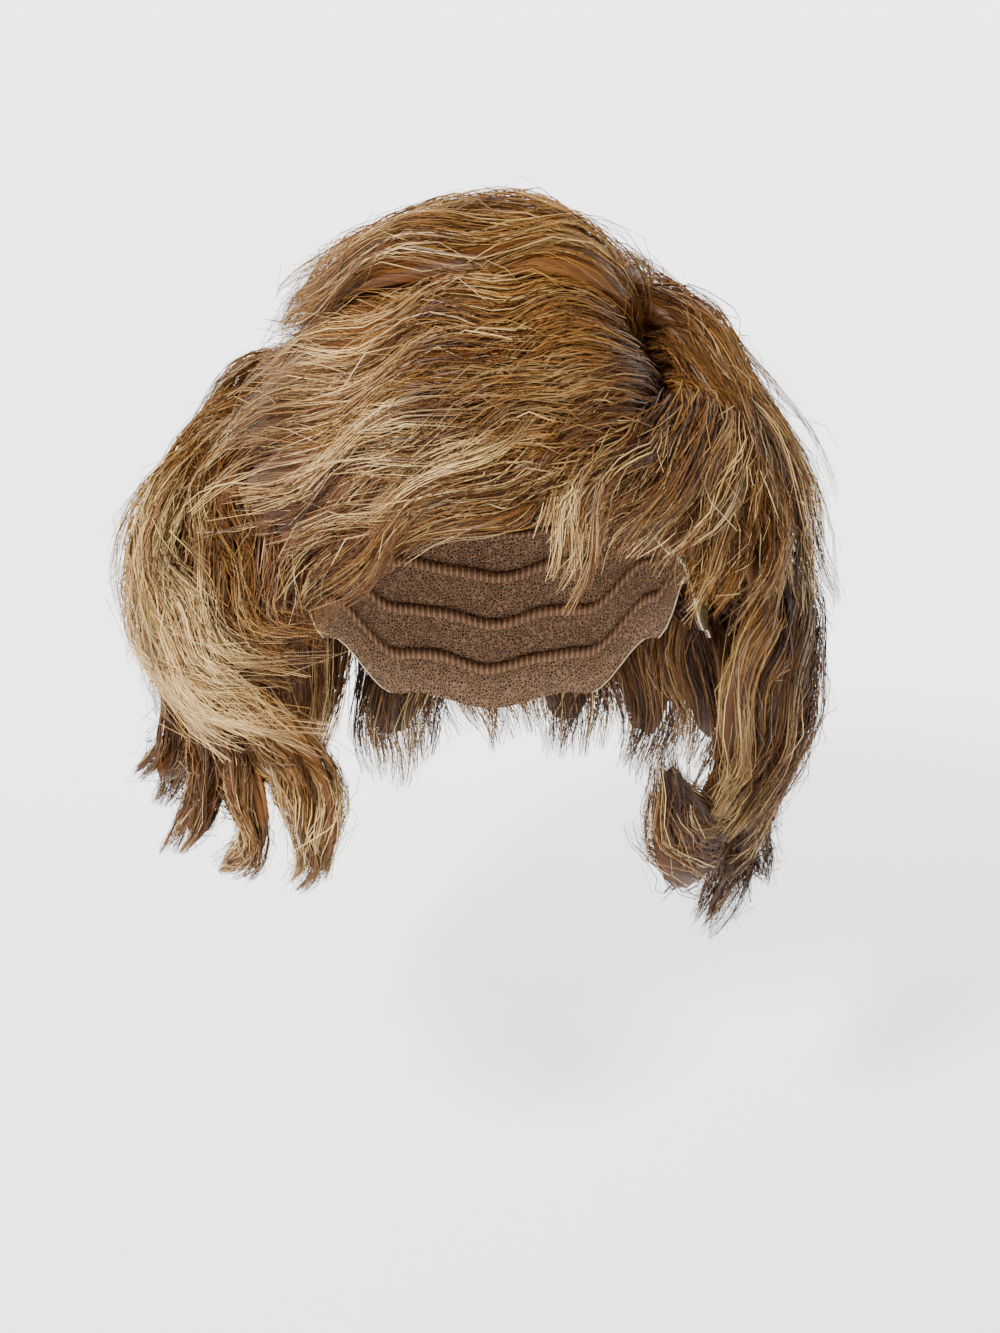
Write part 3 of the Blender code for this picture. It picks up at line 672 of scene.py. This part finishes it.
class Pile:
    """The parts of one mesh, gathered before it is made."""

    def __init__(self):
        self.points, self.faces, self.places = [], [], []
        self.numbers = {"along": [], "tone": [], "fair": [], "streak": []}
        self.count = 0

    def add(self, points, faces, places, numbers):
        """Adds a part: its faces count from its own first point, its numbers are in the order above."""
        self.points.append(points.reshape(-1, 3))
        self.faces.append(self.count + faces)
        self.places.append(places.reshape(-1, 2))
        for values, found in zip(numbers, self.numbers.values()):
            found.append(np.broadcast_to(values, points.shape[:-1]).ravel())
        self.count += len(self.points[-1])

    def made(self, name, finish):
        numbers = {key: np.concatenate(values) for key, values in self.numbers.items()}
        points, faces, places = map(np.concatenate, (self.points, self.faces, self.places))
        return mesh_piece(name, points, faces, finish, numbers, places)


# %% The strands and the cores of a piece
PLOT_SHAPE = 9  # how much taller than wide a strand's plot is
PLOT_SIDES = np.array([0.12, 0.88])
PLOT_START, PLOT_RUN = 0.03, 0.94
STRAND_STRIP, CORE_STRIP_START, CORE_STRIP = 0.94, 0.945, 0.05
# A core's low tone and its low fairness are a painted shade, as deep inside a lock.
CORE_ALONG, CORE_SHADE_TONE, CORE_FAIR = 0.8, 0.30, 0.25  # a core is like the deep strands: dark, seldom fair
CORE_APART, CORE_BANDS = 1.7, 0.14  # steps in the noise between two cores, and across one
LAST_RING = (CORE_STATIONS - 1) * CORE_SIDES
CORE_ENDS = np.array([(0, 1, 2, 3), (0, 3, 4, 5), (0, 5, 6, 7)])
CORE_FACES = np.concatenate(
    [ring_faces(CORE_STATIONS, CORE_SIDES)] + [np.array([end[::-1], LAST_RING + end]) for end in CORE_ENDS]
)


def add_ribbons(pile, strands, streak, first, columns, rows):
    """Adds the strands of a lock. Their plots in the bake's map are counted from the first one."""
    many, stations = strands.share.shape
    points = np.stack([strands.points - strands.sides, strands.points + strands.sides], 2)
    corner = 2 * (np.arange(stations - 1)[None, :] + np.arange(many)[:, None] * stations)
    faces = np.stack([corner, corner + 1, corner + 3, corner + 2], -1).reshape(-1, 4)
    plot = (first + np.arange(many))[:, None, None]
    across = (plot % columns + PLOT_SIDES) / columns + np.zeros((1, stations, 1))
    run = PLOT_START + PLOT_RUN * np.linspace(0, 1, stations)[None, :, None]
    up = (plot // columns + run) / rows * STRAND_STRIP + np.zeros((1, 1, 2))
    numbers = [values[..., None] for values in (strands.share, strands.tone, strands.fair, streak)]
    pile.add(points, faces, np.stack([across, up], -1), numbers)


def add_core(pile, course, last, number, cores):
    """Adds the core of a lock. Each core reads the noise at another place."""
    rings, share = core_of(course, last)
    around = np.abs(np.arange(CORE_SIDES) - CORE_SIDES / 2) / (CORE_SIDES / 2)
    across = (number + 0.06 + 0.88 * around) / cores + np.zeros((CORE_STATIONS, 1))
    up = CORE_STRIP_START + CORE_STRIP * np.linspace(0, 1, CORE_STATIONS)[:, None] + np.zeros((1, CORE_SIDES))
    streak = number * CORE_APART + around * CORE_BANDS * course.width
    # The core gets a dark tone and little fairness: a painted shade.
    numbers = (share[:, None] * CORE_ALONG, CORE_SHADE_TONE, course.fair * CORE_FAIR, streak)
    pile.add(rings, CORE_FACES, np.stack([across, up], -1), numbers)


def hair_piece(piece, triangles, seed):
    """One piece of hair: the strands and the cores of its locks, in place of its plain solid."""
    rng = np.random.default_rng(seed)
    node, slot = piece.node, piece.slot
    courses = COURSES[node]
    weights = np.array([(course.width + 0.5) * course.length for course in courses])
    budgets = (triangles - len(courses) * 2 * len(CORE_FACES)) * weights / weights.sum()
    locks = [Strands(course, budget, rng, piece) for course, budget in zip(courses, budgets)]
    total = sum(strands.count for strands in locks)
    columns = math.ceil(math.sqrt(total * PLOT_SHAPE))
    rows = math.ceil(total / columns)
    pile = Pile()
    first = 0
    for strands in locks:
        add_ribbons(pile, strands, rng.random((strands.count, 1)), first, columns, rows)
        first += strands.count
    for number, course in enumerate(courses):
        add_core(pile, course, piece.core, number, len(courses))
    made = pile.made(node + "_strands", HAIR[slot])
    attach(made, "root")
    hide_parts(node)
    print(f"{made.name}: {total} strands, {2 * len(made.data.polygons)} triangles")


# %% [markdown]
# A row for each piece: its node, its finish, its triangles, how uneven its ends are, how much its clumps
# close to points, the clumps in a lock of usual width, how much a lock narrows, the share of strands on its
# underside, a shift of tone, how wavy and how spread it is, how far its cores run, and how wide a ribbon is.

# %% Every piece of hair
HairPiece = namedtuple(
    "HairPiece",
    "node slot triangles ragged pointed clumps gather under tint wavy spread core ribbon",
)
PIECES = (
    HairPiece("crown_hair", "hair_mid", 120000, 0.22, 0.58, 14, 0.46, 0.22, 0.06, 1.5, 1.0, 0.80, 1.05),
    HairPiece("sweep_hair", "hair_mid", 100000, 0.30, 0.60, 13, 0.60, 0.24, 0.02, 1.4, 1.0, 0.88, 1.0),
    HairPiece("fringe_hair", "hair_mid", 114000, 0.24, 0.56, 12, 0.62, 0.22, 0.07, 1.2, 0.8, 0.76, 1.0),
    HairPiece("left_side_hair", "hair_mid", 98000, 0.30, 0.64, 13, 0.66, 0.24, -0.17, 1.3, 1.0, 0.78, 1.05),
    HairPiece("left_lower_hair", "hair_dark", 108000, 0.12, 0.34, 8, 0.72, 0.34, -0.03, 0.9, 0.45, 0.86, 1.0),
    HairPiece("right_side_hair", "hair_light", 112000, 0.28, 0.6, 13, 0.56, 0.24, -0.03, 1.2, 1.0, 0.62, 1.0),
    HairPiece("right_lower_hair", "hair_light", 100000, 0.12, 0.34, 8, 0.82, 0.34, -0.3, 0.8, 0.35, 0.86, 1),
    HairPiece("back_hair", "hair_mid", 84000, 0.30, 0.50, 12, 0.60, 0.14, 0.02, 1.1, 1.0, 0.76, 1.4),
    HairPiece("nape_hair", "hair_dark", 104000, 0.12, 0.40, 10, 0.40, 0.42, 0.04, 1.0, 0.7, 0.82, 1.3),
)
FIRST_SEED, QUICK_PART = 40, 4
for seed, piece in enumerate(PIECES):
    triangles = piece.triangles
    hair_piece(piece, triangles, FIRST_SEED + seed)

# %% [markdown]
# ## The cap and its tape
# The face opening shows the inside of the cap, so the cap is drawn again with many more steps than its solid
# has: a thin elastic net, closed at the rim by a woven ribbon. Both are walls between an inner and an outer
# sheet, made by one function from rows of latitudes: the net's run up to the crown, the ribbon's end soon.

# %% A wall over the head
AROUND = 120
NET_ROWS, NET_INNER, NET_OUTER = 26, 0.0004, 0.0012
TAPE_ROWS, TAPE_INNER, TAPE_OUTER = 4, 0.0013, 0.0020
TAPE_WIDTH = 0.010
longitude = np.linspace(0, 360, AROUND, endpoint=False)[None, :]
rim = rim_latitude(longitude)


def wall(name, latitude, inner, outer, finish, node):
    """A closed wall over the head, through rows of latitudes, with a top edge if it ends below the crown."""
    way = toward(longitude + 0 * latitude, latitude)
    sheets = [over_head(way, np.full(latitude.shape, lift))[0].reshape(-1, 3) for lift in (inner, outer)]
    size = latitude.size
    facing = ring_faces(len(latitude), AROUND)
    faces = [facing[:, ::-1], facing + size]
    low_edge = np.arange(AROUND)
    beside = np.roll(low_edge, -1)
    band = np.stack([low_edge, beside, beside + size, low_edge + size], -1)
    faces.append(band)
    if latitude.max() < 90:
        faces.append(band[:, ::-1] + size - AROUND)
    made = mesh_piece(name, np.concatenate(sheets), np.concatenate(faces), finish)
    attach(made, "root")
    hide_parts(node)
    print(f"{name}: {2 * len(made.data.polygons)} triangles")


# %% The net, a mesh of small cells
NET_GAP, NET_BROWN, NET_TAN = (0.030, 0.014, 0.007, 1), (0.20, 0.11, 0.055, 1), (0.30, 0.18, 0.10, 1)
NET_CELLS = 900.0
net = Finish("elastic_net", Specular_IOR_Level=0.3)
spot = net.spot()
cells = net.add(
    "ShaderNodeTexVoronoi", {"feature": "DISTANCE_TO_EDGE"}, {"Vector": spot, "Scale": NET_CELLS}, "Distance"
)
thread = 1 - cells.limited(0.03, 0.22)
yarn = net.mixed(net.noise(spot, 40.0, 3.0), NET_BROWN, NET_TAN)
net.feed("Base Color", net.mixed(thread, NET_GAP, yarn))
net.feed("Roughness", 0.95 - 0.25 * thread)
net.relief(0.6, 0.0005, thread)
net_rows = rim + (90 - rim) * np.linspace(0, 1, NET_ROWS)[:, None]
wall("cap_net", net_rows, NET_INNER, NET_OUTER, net.material, "cap")

# %% The ribbon, a plain weave
TAPE_DULL, TAPE_CREAM, TAPE_SHADE = (0.72, 0.60, 0.34, 1), (0.80, 0.72, 0.48, 1), (0.46, 0.36, 0.18, 1)
WEAVE = 7000
ribbon = Finish("pale_ribbon", Specular_IOR_Level=0.35)
spot = ribbon.spot()
x, y, z = (ribbon.add("ShaderNodeSeparateXYZ", None, {0: spot}, axis) for axis in range(3))
weave = (z * WEAVE).sine() * ((x + y) * WEAVE).sine() * 0.5 + 0.5
worn = ribbon.noise(spot, 60.0, 3.0).limited(0.35, 0.7)
tint = ribbon.mixed(worn, TAPE_DULL, TAPE_CREAM)
ribbon.feed("Base Color", ribbon.mixed(weave * 0.35, tint, TAPE_SHADE))
ribbon.feed("Roughness", 0.6 + 0.2 * weave)
ribbon.relief(0.5, 0.0003, weave)
tape_rows = rim + np.degrees(np.linspace(0, TAPE_WIDTH, TAPE_ROWS)[:, None] / CROWN_RISE)
wall("rim_ribbon", tape_rows, TAPE_INNER, TAPE_OUTER, ribbon.material, "edge_tape")

# %% [markdown]
# Inside, the hair is held by rows of weft: fibre sewn side by side to a cord, which is stitched round the
# net. Each row is a flat cord with a small wave where the stitches pull it, all of them in one mesh.

# %% Weft rows inside the cap
WEFT_ROWS, WEFT_GAPS, WEFT_STEPS = 17, 19, 120
ROW_HEIGHT, CORD_OUTER, CORD_INNER = 0.0022, 0.00035, -0.0006
PULL, PULLED_UP, PULLED_IN = 0.031, 0.25, 0.00010
CORD_DARK, CORD_LIGHT = (0.050, 0.018, 0.007, 1), (0.34, 0.17, 0.07, 1)
STITCHES = 2600


def weft_rows():
    """Bands inside the cap, each a closed flat cord round the head, from above the rim to the crown."""
    longitude = np.linspace(0, 360, WEFT_STEPS, endpoint=False)
    low = rim_latitude(longitude)
    tall = np.degrees(ROW_HEIGHT / CROWN_RISE) / 2
    corners = ((-tall, CORD_OUTER), (tall, CORD_OUTER), (tall, CORD_INNER), (-tall, CORD_INNER))
    quads = ring_faces(WEFT_STEPS + 1, 4)[:, [0, 3, 2, 1]] % (WEFT_STEPS * 4)
    points, faces = [], []
    for row in range(1, WEFT_ROWS + 1):
        middle = low + (90 - low) * (row / WEFT_GAPS) ** 1.05
        pull = 0.8 * np.sin(np.radians(longitude) * round(HEAD_WIDTH * math.pi / PULL) + row)
        cord = []
        for up, lift in corners:
            way = toward(longitude, middle + up + PULLED_UP * pull)
            cord.append(over_head(way, lift - PULLED_IN * pull)[0])
        points.append(np.stack(cord, 1).reshape(-1, 3))
        faces.append((row - 1) * WEFT_STEPS * 4 + quads)
    run = np.repeat(np.radians(longitude) * HEAD_WIDTH / 2, 4)
    return np.concatenate(points), np.concatenate(faces), {"along": np.tile(run, len(points))}


weft_cord = Finish("weft_cord", Specular_IOR_Level=0.4)
sewn = (weft_cord.held("along") * STITCHES).sine().limited(-0.2, 0.9)
fuzz = weft_cord.noise(weft_cord.spot(), 900.0, 2.0)
weft_cord.feed("Base Color", weft_cord.mixed(sewn * 0.6 + fuzz * 0.3, CORD_DARK, CORD_LIGHT))
weft_cord.feed("Roughness", 0.55 + 0.3 * fuzz)
weft_cord.relief(0.8, 0.0006, sewn + fuzz)
points, faces, numbers = weft_rows()
rows = mesh_piece("weft_rows", points, faces, weft_cord.material, numbers)
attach(rows, "root")
print("weft rows:", len(rows.data.polygons) * 2, "triangles")

# %% [markdown]
# ## The stage
# The wig is shown where a head would carry it, over a plain pale floor that curves up all round it. The paper
# glows, more behind the wig than in front of it. The main light stands at the upper left, as in a photo
# studio, with a weak one opposite and one behind. The glow is so wide that rays find it by chance, so it
# isn't sampled as a lamp is, to make the render quicker.

# %% Floor
FLOOR, FLAT, BEND, TOP = -0.325, 2.4, 0.8, 1.8
profile = [(reach, FLOOR) for reach in (0.0001, 0.8, 1.6, FLAT)]
for turn in np.linspace(0.1, math.pi / 2, 12):
    profile.append((FLAT + BEND * math.sin(turn), FLOOR + BEND * (1 - math.cos(turn))))
profile.append((FLAT + BEND, TOP))
turns = np.radians(np.arange(0, 360, 5))
tent = []
for reach, height in profile:
    tent += [(reach * math.cos(turn), reach * math.sin(turn), height) for turn in turns]
pale = Finish("pale_paper", Roughness=0.95, Specular_IOR_Level=0.1, Emission_Strength=2.4)
pale.feed("Base Color", pale.mixed(pale.noise(pale.spot(), 3.0), grey(0.74), grey(0.76)))
pale.material.cycles.emission_sampling = "NONE"
depth = pale.add("ShaderNodeSeparateXYZ", None, {0: pale.spot()}, 1)
pale.feed("Emission Color", pale.mixed(depth.limited(-0.7, 0.6), grey(0.14), grey(1)))
backdrop = mesh_piece("backdrop", tent, ring_faces(len(profile), len(turns)), pale.material)


# %% Lights and world
def soft_light(name, place, aim, width, power, colour=(1, 1, 1)):
    """A square lamp that looks at a point."""
    lamp = bpy.data.lights.new(name, "AREA")
    lamp.size, lamp.energy, lamp.color = width, power, colour
    holder = bpy.data.objects.new(name, lamp)
    bpy.context.scene.collection.objects.link(holder)
    holder.location = place
    holder.rotation_euler = (holder.location - Vector(aim)).to_track_quat("Z", "Y").to_euler()


soft_light("key", (-0.50, -0.85, 0.70), (0, 0, -0.05), 0.20, 41, (1, 0.97, 0.93))
soft_light("fill", (1.1, -1.0, 0.35), (0, 0, -0.1), 0.9, 2.2)
soft_light("back", (0.6, 1.1, 0.9), (0, 0, 0), 0.7, 3)
world = bpy.data.worlds.new("studio")
world.use_nodes = True
world.node_tree.nodes["Background"].inputs["Color"].default_value = grey(1)
world.node_tree.nodes["Background"].inputs["Strength"].default_value = 0.10
bpy.context.scene.world = world

# %% [markdown]
# One camera was fitted to the photograph: where it stands, how far it looks down, and its focal length as a
# share of the picture's longer side.

# %% Camera
CAMERA_PLACE, LOOKS_DOWN = (0.0034, -0.62, 0.075), 18
FOCAL_PIXELS, PICTURE_PIXELS, SENSOR = 1850, 1333, 36
lens = bpy.data.cameras.new("camera")
lens.sensor_width, lens.sensor_fit = SENSOR, "AUTO"
lens.lens = FOCAL_PIXELS / PICTURE_PIXELS * SENSOR
lens.clip_start = 0.01
camera = bpy.data.objects.new("camera", lens)
bpy.context.scene.collection.objects.link(camera)
camera.location = CAMERA_PLACE
camera.rotation_euler = (math.radians(90 - LOOKS_DOWN), 0, 0)
bpy.context.scene.camera = camera
